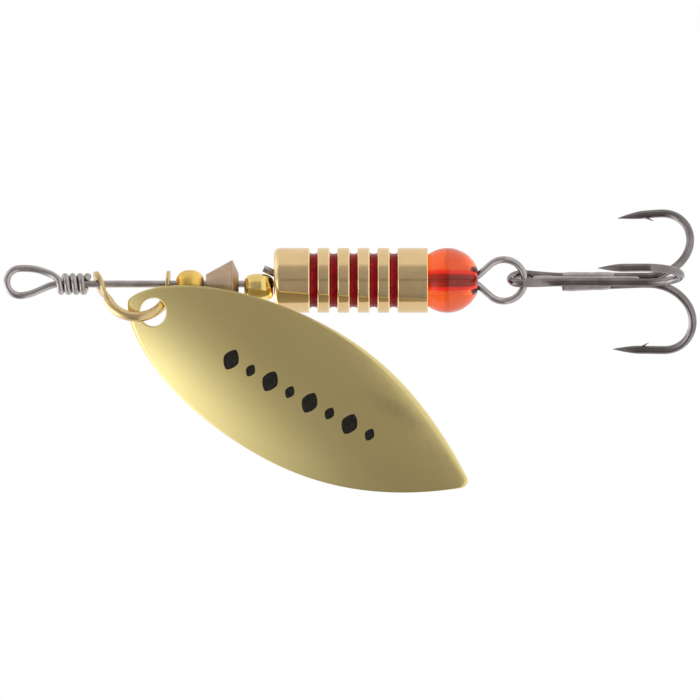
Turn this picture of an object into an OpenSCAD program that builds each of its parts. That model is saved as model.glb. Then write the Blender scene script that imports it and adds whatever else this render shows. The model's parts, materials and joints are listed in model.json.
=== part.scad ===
// Inline spinner: a treble-hook lure on one wire shaft, hanging from its line eye.
// Z runs along the shaft and is up towards the line, X is the side the tag end lies on,
// and -Y is the side the blade covers. The origin is in the line eye, on the shaft's axis.
// All distances along the shaft are measured down from the origin.

/* [Wire shaft] */
// Diameter of the shaft wire
wire_d = 0.56; // [0.5:0.02:0.6]
// Inside half width of the line eye
eye_in_r = 0.81; // [0.7:0.01:0.9]
// Number of wraps below the line eye
wrap_turns = 3.9; // [3:0.1:4]
// Pitch of the wraps
wrap_pitch = 0.6; // [0.58:0.01:0.6]
// Centre radius of the rear loop
loop_r = 1.66; // [1.5:0.01:1.7]
// Depth of the rear loop's centre
loop_at = 38.61; // [38.5:0.01:38.7]
// Angle of the rear loop's legs from the shaft
loop_leg_angle = 42; // [40:1:44]
// Angle that the tag end is bent away from the shaft
tag_angle = 25; // [15:1:26]

/* [Clevis] */
// Diameter of the clevis wire
clevis_d = 0.78; // [0.7:0.02:0.8]
// Radius of the bend at the bottom of the clevis
clevis_bend_r = 2.4; // [2.35:0.01:2.45]
// Distance of the bend's centre from the shaft
clevis_bend_out = 0.8; // [0.78:0.01:0.82]
// Depth of the bend's centre
clevis_bend_at = 9.25; // [9.22:0.01:9.28]
// Slope of the upper ear and leg
upper_ear_angle = 28; // [26:1:29]
// Slope of the lower ear and leg
lower_ear_angle = 5; // [4:1:7]
// Turn of the clevis about the shaft, from straight down the -X side
clevis_turn = 35; // [34:1:36]
// Radius of the flattened ears
ear_r = 1.1; // [1:0.01:1.12]
// Thickness of the flattened ears
ear_t = 0.32; // [0.28:0.02:0.36]

/* [Blade] */
// Width of the blade
blade_w = 11.78; // [11.6:0.02:11.8]
// Distance of the hole above the blade's middle line
blade_hole_off = 0.17; // [0.1:0.01:0.2]
// Length from the hole to the widest place
blade_hole_to_wide = 13.1; // [13:0.1:13.2]
// Length from the widest place to the rounded end
blade_end_len = 15.3; // [15.2:0.05:15.4]
// Length from the widest place to the tip
blade_tip_len = 16; // [15.8:0.05:16.1]
// Thickness of the sheet
blade_t = 0.38; // [0.36:0.02:0.4]
// Radius of the dome along the blade
dome_long_r = 70; // [68:1:75]
// Radius of the dome across the blade
dome_cross_r = 15; // [14.5:0.1:16]
// Diameter of the blade's hole
blade_hole_d = 2.24; // [2.2:0.02:2.3]
// Angle of the blade to the shaft, seen from the front
blade_skew = 28.5; // [28:0.25:29.5]
// Angle that the tip stands away from the shaft
blade_pitch = 7; // [7:0.5:8]
// Roll of the blade about its own length
blade_roll = 9; // [8.5:0.5:9]

/* [Beads and cone] */
// Diameter of the front bead
front_bead_d = 2.24; // [2:0.02:2.3]
// Diameter of the rear bead
rear_bead_d = 2.26; // [2:0.02:2.28]
// Bore of the rear bead, loose on the wire
rear_bead_bore = 1.24; // [1.22:0.02:1.26]
// Largest diameter of the cone bearing
cone_d = 3.84; // [3.4:0.02:3.9]
// Length of the cone bearing
cone_len = 2.61; // [2.5:0.01:2.65]

/* [Body] */
// Diameter of the turned body
body_d = 5.2; // [5:0.05:5.25]
// Length of the turned body
body_len = 12.32; // [12.3:0.01:12.35]
// Number of grooves
groove_count = 5; // [5:1:5]
// Width of each groove
groove_w = 0.6; // [0.5:0.02:0.7]
// Distance from one groove to the next
groove_pitch = 1.6; // [1.5:0.02:1.65]
// Distance of the first groove's edge from the body's front
groove_start = 2.87; // [2.7:0.01:3]
// Depth of each groove
groove_depth = 0.64; // [0.6:0.02:0.7]
// Depth of the enamel's surface below the rims
enamel_depth = 0.42; // [0.36:0.02:0.5]
// Diameter of the tail bead
tail_bead_d = 5.2; // [5:0.05:5.2]

/* [Treble hook] */
// Diameter of the hook wire
hook_d = 0.66; // [0.64:0.02:0.7]
// Distance from the treble's axis to each point
hook_gap = 6.25; // [6:0.05:6.5]
// Length from the rear loop's wire to the bottom of the bends
hook_len = 13.09; // [12.9:0.01:13.2]
// Length of the straight spear
spear_len = 3.5; // [3.3:0.02:3.6]
// Lean of the spear towards the shank
spear_lean = 3; // [1:1:4]
// Inside half width of the treble's eye
hook_eye_in_r = 0.56; // [0.54:0.01:0.57]
// Yaw of the treble towards the blade's side
hook_yaw = 9; // [7:1:11]

/* [Hidden] */
$fn = 48;

wire_r = wire_d / 2;
running_gap = 0.08;      // radial clearance of a piece that turns on the wire
strand_pitch = wire_d + 0.02;
body_x = strand_pitch / 2;      // the body turns about both strands of the wire
tag_x = strand_pitch;

// line eye and wraps
wrap_r = wire_d + 0.04;
wrap_at = 2.9;
wrap_first_angle = 55;
eye_x = 0.16;
eye_z = 0.07;
eye_r = eye_in_r + wire_r;
core_top = 3.3;
wire_sides = 12;

// how far the lengths of one wire lap inside each other, and the step in radius there
joint_lap = 0.05;
joint_step = 0.012;

// rear loop
loop_bend_r = 0.6;
loop_reach = body_x + loop_bend_r * (1 - cos(loop_leg_angle));
loop_drop = (loop_r - loop_reach * cos(loop_leg_angle)) / sin(loop_leg_angle);
loop_leg = loop_drop * cos(loop_leg_angle) - loop_reach * sin(loop_leg_angle);
strand_end = loop_at - loop_drop - loop_bend_r * sin(loop_leg_angle);

// tag end
tag_bend_r = 1.2;
tag_bend_at = 21.08;
tag_tip_len = 1.29;

// places along the shaft
front_bead_at = 13.49;
cone_at = 14.77;
rear_bead_at = 18.99;
rear_bead_x = -0.3;
body_at = 20.21;
tail_bead_at = 34.09;

// clevis
clevis_r = clevis_d / 2;
ear_bore_r = wire_r + running_gap;
leg_clear = 0.62;

// blade
blade_hole_at = [-2.26, -1.58, -10.57];
blade_steps = 24;
end_fullness = 0.65;
tip_fullness = 2.1;

// cone bearing
cone_nose_r = 0.77;
cone_tail_r = 0.95;
cone_widest = 2.01;
cone_edge_r = 0.12;

// body
body_bore_r = 0.61;
body_chamfer = 0.3;
groove_chamfer = 0.07;
mouth_r = 1.08;
mouth_depth = 0.9;
cup_gap = 0.08;
tail_bore_r = 0.86;
enamel_gap = 0.01;

// treble
hook_r = hook_d / 2;
strand_gap = hook_d + 0.06;
strand_r = strand_gap / sqrt(3);
pair_shift = strand_gap / (2 * sqrt(3));
hinge_at = [0.43, 0, -40.26];
pair_angles = [-34, 80];
single_angle = 208;
pair_middle = (pair_angles[0] + pair_angles[1]) / 2;
hook_eye_r = hook_eye_in_r + hook_r;
hook_eye_top = 0.2;
hook_eye_low = -0.5;
hook_neck = 1.3;
heel_r = 1.9;
heel_angle = 55;
toe_r = 2.5;
point_len = 1.7;
point_tip_r = 0.03;
barb_t = 0.3;
barb_out = 0.4;
single_top = 3.05;
braze_top = 3.4;
braze_end = 9.6;
braze_r = 0.54;

function unit(v) = v / norm(v);

// A point on the smooth curve through a, b, c and d, at t from b to c
function curve_point(a, b, c, d, t) =
    0.5 * (2 * b + (c - a) * t + (2 * a - 5 * b + 4 * c - d) * t * t
    + (3 * b - a - 3 * c + d) * t * t * t);

function smooth(p, steps) = concat(
    [for (i = [0 : len(p) - 2], s = [0 : steps - 1])
        curve_point(p[max(i - 1, 0)], p[i], p[i + 1], p[min(i + 2, len(p) - 1)], s / steps)],
    [p[len(p) - 1]]
);

function direction(p, i) = unit(p[min(i + 1, len(p) - 1)] - p[max(i - 1, 0)]);

function square_to(v, t) = unit(v - (v * t) * t);

// The normals along a route, each carried on from the one before without twist
function normals(p, first) = [
    for (i = 0, n = square_to(first, direction(p, 0));
        i < len(p);
        i = i + 1, n = square_to(n, direction(p, min(i, len(p) - 1))))
    n
];

// A round wire of radius r along the points of p
module swept_wire(p, r, sides, first) {
    n = normals(p, first);
    last = len(p) - 1;
    points = [
        for (i = [0 : last], k = [0 : sides - 1])
        let (t = direction(p, i), b = cross(t, n[i]), a = 360 * k / sides)
        p[i] + r * (cos(a) * n[i] + sin(a) * b)
    ];
    sheath = [
        for (i = [0 : last - 1], k = [0 : sides - 1])
        let (j = (k + 1) % sides, low = i * sides, high = low + sides)
        each [[low + k, high + k, low + j], [low + j, high + k, high + j]]
    ];
    caps = [
        [for (k = [0 : sides - 1]) k],
        [for (k = [sides - 1 : -1 : 0]) last * sides + k]
    ];
    polyhedron(points, concat(sheath, caps), convexity = 10);
}

// A straight length of wire in the XZ plane, at angle a from +X
module rod(x, z, a, length, r) {
    translate([x, 0, z]) rotate([0, 90 - a, 0]) cylinder(r = r, h = length);
}

// A bend in the XZ plane about (x, z), from angle a through sweep. It is a hair thinner than
// the straight lengths and its ends run on a hair inside them, so that each wire is one solid.
module bend(x, z, bend_r, a, sweep, r) {
    run_on = joint_lap / bend_r * 180 / PI;
    translate([x, 0, z]) rotate([90, 0, 0]) rotate([0, 0, a - run_on])
        rotate_extrude(angle = sweep + 2 * run_on) translate([bend_r, 0]) circle(r = r - joint_step);
}

// A ball that rounds the outside of a corner between two straight lengths
module corner(x, z, r) {
    translate([x, 0, z]) sphere(r = r - 3 * joint_step);
}

function wrap_point(a) = [
    wrap_r * cos(a), -wrap_r * sin(a), -wrap_at - wrap_pitch * a / 360
];

// The line eye and the wraps, from the shaft round the eye and down about the shaft
eye_route = concat(
    [[0, 0, -core_top - 0.05], [0, 0, -2.95], [-0.14, 0, -2.3], [-0.48, 0, -1.5], [-0.79, 0, -0.7]],
    [for (a = [180 : -20 : 0]) [eye_x + eye_r * cos(a), 0, eye_z + eye_r * sin(a)]],
    [[1.23, 0, -0.7], [1.12, -0.02, -1.4], [0.88, -0.12, -2.1], [0.64, -0.3, -2.62]],
    [for (a = [wrap_first_angle : 30 : 360 * wrap_turns]) wrap_point(a)]
);

module shaft_wire() {
    leg_x = loop_bend_r * (1 - cos(loop_leg_angle));
    leg_z = strand_end + loop_bend_r * sin(loop_leg_angle);
    foot_x = loop_r * cos(loop_leg_angle);
    foot_z = -loop_at + loop_r * sin(loop_leg_angle);
    tag_bend_end = [tag_x + tag_bend_r * (1 - cos(tag_angle)), -tag_bend_at + tag_bend_r * sin(tag_angle)];
    color([0.62, 0.6, 0.61]) {
        swept_wire(smooth(eye_route, 2), wire_r - 0.005, wire_sides, [0, 1, 0]);
        rod(0, -strand_end, 90, strand_end - core_top, wire_r);
        bend(-loop_bend_r, -strand_end, loop_bend_r, -loop_leg_angle, loop_leg_angle, wire_r);
        rod(-leg_x, -leg_z, 270 - loop_leg_angle, loop_leg, wire_r);
        bend(body_x, -loop_at, loop_r, 180 - loop_leg_angle, 180 + 2 * loop_leg_angle, wire_r);
        rod(body_x + foot_x, foot_z, 90 + loop_leg_angle, loop_leg, wire_r);
        bend(tag_x + loop_bend_r, -strand_end, loop_bend_r, 180, loop_leg_angle, wire_r);
        rod(tag_x, -strand_end, 90, strand_end - tag_bend_at, wire_r);
        bend(tag_x + tag_bend_r, -tag_bend_at, tag_bend_r, 180 - tag_angle, tag_angle, wire_r);
        rod(tag_bend_end[0], tag_bend_end[1], 90 - tag_angle, tag_tip_len, wire_r);
    }
}

// A flattened ear, drilled along the shaft, at depth at and sloping by a
module ear(at, a) {
    translate([0, 0, -at]) rotate([0, a, 0]) cylinder(r = ear_r, h = ear_t, center = true);
}

module clevis() {
    arc_from = lower_ear_angle - 90;
    arc_to = 90 - upper_ear_angle;
    low_x = clevis_bend_out + clevis_bend_r * cos(arc_from);
    low_z = -clevis_bend_at + clevis_bend_r * sin(arc_from);
    high_x = clevis_bend_out + clevis_bend_r * cos(arc_to);
    high_z = -clevis_bend_at + clevis_bend_r * sin(arc_to);
    low_ear_at = -low_z + low_x * tan(lower_ear_angle);
    high_ear_at = -high_z - high_x * tan(upper_ear_angle);
    low_leg = (low_x - leg_clear) / cos(lower_ear_angle);
    high_leg = (high_x - leg_clear) / cos(upper_ear_angle);
    color([0.72, 0.58, 0.32]) rotate([0, 0, 180 + clevis_turn]) difference() {
        union() {
            bend(clevis_bend_out, -clevis_bend_at, clevis_bend_r, arc_from, arc_to - arc_from, clevis_r);
            rod(low_x, low_z, 180 + lower_ear_angle, low_leg, clevis_r);
            rod(high_x, high_z, 180 - upper_ear_angle, high_leg, clevis_r);
            ear(low_ear_at, -lower_ear_angle);
            ear(high_ear_at, upper_ear_angle);
        }
        translate([0, 0, -low_ear_at - 2]) cylinder(r = ear_bore_r, h = low_ear_at - high_ear_at + 4);
    }
}

// Half the blade's width at distance u from the hole towards the tip
function blade_half(u) = let (d = u - blade_hole_to_wide)
    d < 0
    ? blade_w / 2 * pow(max(0, 1 - pow(d / blade_end_len, 2)), end_fullness)
    : blade_w / 2 * (1 - pow(d / blade_tip_len, tip_fullness));

// Distances along the blade, closer together towards the ends
function blade_stations() = [
    for (i = [0 : 2 * blade_steps])
    let (a = 90 * (i - blade_steps) / blade_steps)
    blade_hole_to_wide + (a < 0 ? blade_end_len : blade_tip_len) * sin(a)
];

module blade_outline() {
    u = blade_stations();
    last = len(u) - 1;
    polygon(concat(
        [for (i = [0 : last]) [u[i], blade_half(u[i]) - blade_hole_off]],
        [for (i = [last - 1 : -1 : 1]) [u[i], -blade_half(u[i]) - blade_hole_off]]
    ));
}

// The domed sheet: crowned along the blade and across it, level with the hole's centre
module dome() {
    crown = dome_long_r - sqrt(pow(dome_long_r, 2) - pow(blade_hole_to_wide, 2));
    tube_at = dome_long_r - dome_cross_r;
    translate([blade_hole_to_wide, 0, crown - dome_long_r]) rotate([90, 0, 0]) rotate([0, 0, 74])
        rotate_extrude(angle = 32) intersection() {
            difference() {
                translate([tube_at, 0]) circle(r = dome_cross_r + blade_t / 2, $fn = 240);
                translate([tube_at, 0]) circle(r = dome_cross_r - blade_t / 2, $fn = 240);
            }
            translate([tube_at + dome_cross_r / 2, -blade_w]) square([dome_cross_r, 2 * blade_w]);
        }
}

module blade() {
    color([0.74, 0.68, 0.42]) translate(blade_hole_at) rotate([0, 90 + blade_skew, 0]) rotate([90, 0, 0])
        rotate([0, -blade_pitch, 0]) rotate([blade_roll, 0, 0]) difference() {
            intersection() {
                dome();
                translate([0, 0, -6]) linear_extrude(height = 12) blade_outline();
            }
            translate([0, 0, -3]) cylinder(d = blade_hole_d, h = 6);
        }
}

// A round bead bored through, centred at depth at and x from the shaft
module bead(x, at, d, bore_r) {
    translate([x, 0, -at]) difference() {
        sphere(d = d);
        translate([0, 0, -d]) cylinder(r = bore_r, h = 2 * d);
    }
}

module front_bead() {
    color([0.85, 0.66, 0.2]) bead(0, front_bead_at, front_bead_d, wire_r + running_gap);
}

module rear_bead() {
    color([0.85, 0.66, 0.2]) bead(rear_bead_x, rear_bead_at, rear_bead_d, rear_bead_bore / 2);
}

module tail_bead() {
    color([0.85, 0.12, 0.06]) bead(body_x, tail_bead_at, tail_bead_d, tail_bore_r);
}

module cone_bearing() {
    bore_r = wire_r + running_gap;
    edge = cone_edge_r;
    color([0.76, 0.6, 0.48]) translate([0, 0, -cone_at]) rotate_extrude() polygon([
        [bore_r, 0],
        [cone_nose_r, 0],
        [cone_d / 2 - edge, -cone_widest + edge],
        [cone_d / 2, -cone_widest - edge / 2],
        [cone_d / 2 - edge, -cone_widest - 1.5 * edge],
        [cone_tail_r, -cone_len],
        [bore_r, -cone_len]
    ]);
}

function groove_at(i) = groove_start + groove_pitch * i;

// The body's outer edge from front to rear, in [radius, z]
function body_edge() = let (r = body_d / 2, c = groove_chamfer) concat(
    [[r - body_chamfer, 0], [r, -body_chamfer]],
    [for (i = [0 : groove_count - 1]) let (top = groove_at(i), end = top + groove_w)
        each [
            [r, c - top],
            [r - c, -top],
            [r - groove_depth, -top],
            [r - groove_depth, -end],
            [r - c, -end],
            [r, -end - c]
        ]],
    [[r, -body_len + c], [r - c, -body_len]]
);

module body() {
    color([0.78, 0.66, 0.48]) translate([body_x, 0, -body_at]) difference() {
        rotate_extrude() polygon(concat(
            [[body_bore_r, -mouth_depth], [mouth_r, 0]],
            body_edge(),
            [[body_bore_r, -body_len]]
        ));
        translate([0, 0, body_at - tail_bead_at]) sphere(r = tail_bead_d / 2 + cup_gap, $fn = 96);
    }
}

module enamel_ring(i) {
    r = body_d / 2;
    color([0.45, 0.03, 0.04]) translate([body_x, 0, -body_at - groove_at(i) - groove_w + enamel_gap])
        difference() {
            cylinder(r = r - enamel_depth, h = groove_w - 2 * enamel_gap);
            translate([0, 0, -1]) cylinder(r = r - groove_depth + enamel_gap, h = groove_w + 2);
        }
}

// Puts the treble's own frame at the rear loop: its axis is -Z and its eye is round the origin
module treble_place() {
    translate(hinge_at) rotate([-hook_yaw, 0, 0])
        translate([-pair_shift * cos(pair_middle), pair_shift * sin(pair_middle), 0]) children();
}

// One hook from depth top to its point, in the XZ plane on the +X side
module hook(top) {
    heel_out = strand_r + heel_r * (1 - cos(heel_angle));
    spear_x = hook_gap + spear_len * sin(spear_lean);
    toe_x = spear_x - toe_r * cos(spear_lean);
    toe_z = -hook_len + toe_r;
    middle_x = toe_x - toe_r * cos(heel_angle);
    middle_z = toe_z - toe_r * sin(heel_angle);
    middle_len = (middle_x - heel_out) / sin(heel_angle);
    heel_z = middle_z + middle_len * cos(heel_angle) + heel_r * sin(heel_angle);
    rod(strand_r, heel_z, 90, -heel_z - top, hook_r);
    bend(strand_r + heel_r, heel_z, heel_r, 180, heel_angle, hook_r);
    rod(middle_x, middle_z, 90 + heel_angle, middle_len, hook_r);
    bend(toe_x, toe_z, toe_r, 180 + heel_angle, 180 - heel_angle + spear_lean, hook_r);
    translate([spear_x, 0, toe_z + toe_r * sin(spear_lean)]) rotate([0, -spear_lean, 0]) {
        cylinder(r = hook_r, h = spear_len - point_len);
        translate([0, 0, spear_len - point_len - joint_lap])
            cylinder(r1 = hook_r - joint_step, r2 = point_tip_r, h = point_len + joint_lap);
        translate([-hook_r, barb_t / 2, spear_len]) rotate([90, 0, 0])
            linear_extrude(height = barb_t)
                polygon([[0.12, -1.75], [-barb_out, -2.85], [0.12, -2.5]]);
    }
}

// The treble's eye: one bend over the top, and two sides that close to the shanks' pitch
module treble_eye() {
    across = hook_eye_r - strand_gap / 2;
    slant = atan(across / hook_neck);
    side_len = norm([across, hook_neck]);
    bend(0, hook_eye_top, hook_eye_r, 0, 180, hook_r);
    for (side = [0, 180]) rotate([0, 0, side]) {
        rod(hook_eye_r, hook_eye_low, 90, hook_eye_top - hook_eye_low, hook_r);
        corner(hook_eye_r, hook_eye_low, hook_r);
        rod(hook_eye_r, hook_eye_low, 270 - slant, side_len, hook_r - joint_step);
        corner(strand_gap / 2, hook_eye_low - hook_neck, hook_r);
    }
}

module double_hook() {
    color([0.28, 0.26, 0.27]) treble_place() {
        for (a = pair_angles) rotate([0, 0, -a]) hook(hook_neck - hook_eye_low);
        rotate([0, 0, 90 - pair_middle]) translate([0, -pair_shift, 0]) treble_eye();
    }
}

module single_hook() {
    color([0.28, 0.26, 0.27]) treble_place() rotate([0, 0, -single_angle]) hook(single_top);
}

module braze_joint() {
    angles = [pair_angles[0], pair_angles[1], single_angle];
    color([0.36, 0.34, 0.34]) treble_place() difference() {
        translate([0, 0, -braze_end]) cylinder(r = braze_r, h = braze_end - braze_top);
        for (a = angles) rotate([0, 0, -a])
            translate([strand_r, 0, -braze_end - 1]) cylinder(r = hook_r + 0.01, h = braze_end);
    }
}

shaft_wire();
clevis();
blade();
front_bead();
cone_bearing();
rear_bead();
body();
enamel_ring(0);  // enamel_ring_1
enamel_ring(1);  // enamel_ring_2
enamel_ring(2);  // enamel_ring_3
enamel_ring(3);  // enamel_ring_4
enamel_ring(4);  // enamel_ring_5
tail_bead();
double_hook();
single_hook();
braze_joint();
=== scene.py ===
import json
import math

import bpy
import numpy as np
from mathutils import Matrix, Vector


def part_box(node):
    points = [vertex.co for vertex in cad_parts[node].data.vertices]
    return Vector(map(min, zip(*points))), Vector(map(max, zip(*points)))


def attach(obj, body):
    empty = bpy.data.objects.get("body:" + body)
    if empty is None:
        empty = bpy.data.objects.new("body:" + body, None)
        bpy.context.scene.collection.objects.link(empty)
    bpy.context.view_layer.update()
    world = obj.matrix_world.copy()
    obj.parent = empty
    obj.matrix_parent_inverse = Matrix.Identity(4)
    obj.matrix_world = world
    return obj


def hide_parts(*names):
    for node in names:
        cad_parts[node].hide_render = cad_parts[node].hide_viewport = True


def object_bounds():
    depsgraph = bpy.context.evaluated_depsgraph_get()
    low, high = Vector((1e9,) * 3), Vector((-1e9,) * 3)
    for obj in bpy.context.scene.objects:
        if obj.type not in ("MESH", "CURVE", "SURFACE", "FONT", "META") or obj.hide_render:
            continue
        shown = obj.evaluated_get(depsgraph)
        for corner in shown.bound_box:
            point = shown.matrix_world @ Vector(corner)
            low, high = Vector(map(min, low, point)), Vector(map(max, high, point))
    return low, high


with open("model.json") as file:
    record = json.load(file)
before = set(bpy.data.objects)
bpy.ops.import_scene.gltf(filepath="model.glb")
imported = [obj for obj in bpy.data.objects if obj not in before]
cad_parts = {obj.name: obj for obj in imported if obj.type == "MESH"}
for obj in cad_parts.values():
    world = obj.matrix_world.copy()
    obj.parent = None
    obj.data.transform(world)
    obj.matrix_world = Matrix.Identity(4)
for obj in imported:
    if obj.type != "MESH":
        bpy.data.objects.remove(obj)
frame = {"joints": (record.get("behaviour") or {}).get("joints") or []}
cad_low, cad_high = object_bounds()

# An inline spinner lure. Lengths are in millimetres until grid_mesh turns them into metres.
# The shaft runs along Z with the line eye at the origin, X is the tag end's side and -Y is
# the side that the blade covers.
MM = 0.001
joints = {joint["name"]: joint for joint in frame["joints"]}


def centre_and_size(node):
    """The middle and the size of a CAD node's box, in millimetres."""
    low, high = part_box(node)
    return np.array((low + high) / 2) / MM, np.array(high - low) / MM


def unit(v):
    return v / np.linalg.norm(v)


def turn(axis, degrees):
    """The 3x3 matrix of a right-handed turn about an axis."""
    return np.array(Matrix.Rotation(math.radians(degrees), 3, axis))


# ---------------------------------------------------------------- meshes

def grid_mesh(name, grid, loop_rows=False):
    """A smooth closed mesh through rows of points, each row a ring. The rows close on
    themselves as well, or else the first and the last ring are capped."""
    rows, columns = grid.shape[:2]
    spans = rows if loop_rows else rows - 1
    i, j = (index.ravel() for index in np.mgrid[0:spans, 0:columns])
    next_i, next_j = (i + 1) % rows, (j + 1) % columns
    here, ahead = i * columns, next_i * columns
    quads = np.stack([here + j, ahead + j, ahead + next_j, here + next_j], 1)

    after, before = np.roll(grid, -1, 0), np.roll(grid, 1, 0)
    if not loop_rows:
        after[-1], before[0] = grid[-1], grid[0]
    round_ring = np.roll(grid, -1, 1) - np.roll(grid, 1, 1)
    normals = np.cross(after - before, round_ring).reshape(-1, 3)
    normals /= np.maximum(np.linalg.norm(normals, axis=1, keepdims=True), 1e-12)

    # the sign of the volume tells whether the faces look outwards
    points = grid.reshape(-1, 3)
    corners = points[quads] - points.mean(0)
    volume = np.einsum("ij,ij->", corners[:, 0], np.cross(corners[:, 1], corners[:, 2]))
    volume += np.einsum("ij,ij->", corners[:, 0], np.cross(corners[:, 2], corners[:, 3]))

    # the map is in millimetres: round the ring, then along the rows
    steps = np.linalg.norm(np.diff(grid, axis=0), axis=2).mean(1)
    along = np.concatenate([[0], np.cumsum(steps), [steps.sum() + steps.mean()]])
    girth = np.linalg.norm(np.roll(grid, -1, 1) - grid, axis=2).sum(1).mean() / columns
    uvs = np.stack([
        np.stack([j, j, j + 1, j + 1], 1) * girth,
        np.stack([along[i], along[i + 1], along[i + 1], along[i]], 1),
    ], 2)
    faces = quads.tolist()
    caps = []
    if not loop_rows:
        last = (rows - 1) * columns
        caps = [list(range(columns - 1, -1, -1)), list(range(last, last + columns))]
    if volume < 0:
        normals = -normals
        faces = [face[::-1] for face in faces]
        caps = [cap[::-1] for cap in caps]
        uvs = uvs[:, ::-1]

    mesh = bpy.data.meshes.new(name)
    mesh.from_pydata((points * MM).tolist(), [], faces + caps)
    layer = mesh.uv_layers.new(name="surface")
    flat = np.zeros((len(mesh.loops), 2))
    flat[: uvs.size // 2] = uvs.reshape(-1, 2)
    layer.data.foreach_set("uv", flat.ravel())
    mesh.polygons.foreach_set("use_smooth", [True] * len(mesh.polygons))
    mesh.normals_split_custom_set_from_vertices(normals.tolist())
    return mesh


def add_object(name, meshes, material):
    """One object from several meshes that share a material."""
    parts = []
    for mesh in meshes:
        mesh.materials.append(material)
        part = bpy.data.objects.new(name, mesh)
        bpy.context.scene.collection.objects.link(part)
        parts.append(part)
    if len(parts) > 1:
        with bpy.context.temp_override(active_object=parts[0], selected_editable_objects=parts):
            bpy.ops.object.join()
    return parts[0]


def finish_piece(piece, body, slot, *nodes):
    """Puts a piece on its body and hides the CAD nodes that it stands for; the slot is not used."""
    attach(piece, body)
    if nodes:
        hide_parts(*nodes)
    return piece


FLAT_CORNER = math.radians(89)   # half the angle of a corner too flat to round


def rounded(corners, steps=6):
    """A closed outline with its corners rounded; each corner is (x, y, radius)."""
    outline = []
    for k, (x, y, radius) in enumerate(corners):
        here = np.array([x, y])
        before = unit(np.array(corners[k - 1][:2]) - here)
        after = unit(np.array(corners[(k + 1) % len(corners)][:2]) - here)
        half = math.acos(np.clip(before @ after, -1, 1)) / 2
        if radius == 0 or half > FLAT_CORNER:
            outline.append(here)
            continue
        centre = here + unit(before + after) * radius / math.sin(half)
        start = here + before * radius / math.tan(half) - centre
        end = here + after * radius / math.tan(half) - centre
        sweep = math.pi - 2 * half
        for t in np.linspace(0, 1, steps + 1):
            spread = math.sin((1 - t) * sweep) * start + math.sin(t * sweep) * end
            outline.append(centre + spread / math.sin(sweep))
    return np.array(outline)


def lathe(name, profile, axis_x, segments=144):
    """A closed profile of (radius, z) turned about the upright axis at x = axis_x."""
    around = np.linspace(0, 2 * math.pi, segments, endpoint=False)
    ring = np.stack([np.cos(around), np.sin(around), np.zeros(segments)], 1)
    grid = profile[:, None, :1] * ring[None] + profile[:, None, 1:] * np.array([0, 0, 1])
    grid[..., 0] += axis_x
    return grid_mesh(name, grid, loop_rows=True)


def curve(points, spacing):
    """A smooth centripetal curve through the points, with its own points evenly spaced."""
    points = np.array(points, float)
    guarded = np.concatenate([[2 * points[0] - points[1]], points, [2 * points[-1] - points[-2]]])
    dense = []
    for a, b, c, d in zip(guarded, guarded[1:], guarded[2:], guarded[3:]):
        lengths = [max(np.linalg.norm(q - p), 1e-6) ** 0.5 for p, q in ((a, b), (b, c), (c, d))]
        into = (b - a) / lengths[0] - (c - a) / (lengths[0] + lengths[1]) + (c - b) / lengths[1]
        out = (c - b) / lengths[1] - (d - b) / (lengths[1] + lengths[2]) + (d - c) / lengths[2]
        into, out = into * lengths[1], out * lengths[1]
        for t in np.linspace(0, 1, 12, endpoint=False):
            dense.append(b + into * t + (3 * (c - b) - 2 * into - out) * t ** 2
                         + (2 * (b - c) + into + out) * t ** 3)
    dense.append(points[-1])
    return even(np.array(dense), spacing)


def even(points, spacing):
    """The same route with evenly spaced points."""
    length = np.concatenate([[0], np.cumsum(np.linalg.norm(np.diff(points, axis=0), axis=1))])
    at = np.linspace(0, length[-1], max(2, round(length[-1] / spacing) + 1))
    return np.stack([np.interp(at, length, points[:, k]) for k in range(3)], 1)


def arc(centre, first, second, radius, start, end, step=6):
    """Points of an arc about centre, from angle start to end; first and second span its plane."""
    angles = np.radians(np.linspace(start, end, max(2, round(abs(end - start) / step) + 1)))
    first, second = np.array(first, float), np.array(second, float)
    return [np.array(centre) + radius * (math.cos(a) * first + math.sin(a) * second)
            for a in angles]


BEVEL_STEPS = np.radians([30, 60, 90])


def tube(name, path, widths, heights=None, up=(0, 1, 0), sides=24, bevel=0.06):
    """A wire along path. widths and heights are half sizes across it, for each point or for
    all; up says which way the height first points. The ends are flat with a small bevel."""
    count = len(path)
    widths = np.broadcast_to(np.array(widths, float), count)
    heights = widths if heights is None else np.broadcast_to(np.array(heights, float), count)
    tangents = np.gradient(path, axis=0)
    tangents /= np.linalg.norm(tangents, axis=1, keepdims=True)
    angles = np.linspace(0, 2 * math.pi, sides, endpoint=False)
    across, upward = np.cos(angles), np.sin(angles)
    normal = np.array(up, float)
    rings = []
    for point, tangent, width, height in zip(path, tangents, widths, heights):
        normal = unit(normal - (normal @ tangent) * tangent)
        side = np.cross(normal, tangent)
        rings.append((point, tangent, side * width, normal * height))

    def ring(point, side, normal, share=1.0):
        return point + share * (across[:, None] * side + upward[:, None] * normal)

    def end(point, outward, side, normal):
        size = min(np.linalg.norm(side), np.linalg.norm(normal))
        cut = min(bevel, 0.5 * size)
        shares = [1 - cut / size * (1 - math.cos(t)) for t in BEVEL_STEPS]
        soft = [ring(point + outward * cut * math.sin(t), side, normal, share)
                for t, share in zip(BEVEL_STEPS, shares)]
        return soft + [ring(point + outward * cut, side, normal, share) for share in (0.5, 0.02)]

    point, tangent, side, rise = rings[0]
    start = end(point, -tangent, side, rise)[::-1]
    finish = end(*rings[-1])
    body = [ring(point, side, rise) for point, _, side, rise in rings]
    return grid_mesh(name, np.array(start + body + finish))


# ---------------------------------------------------------------- materials

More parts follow.
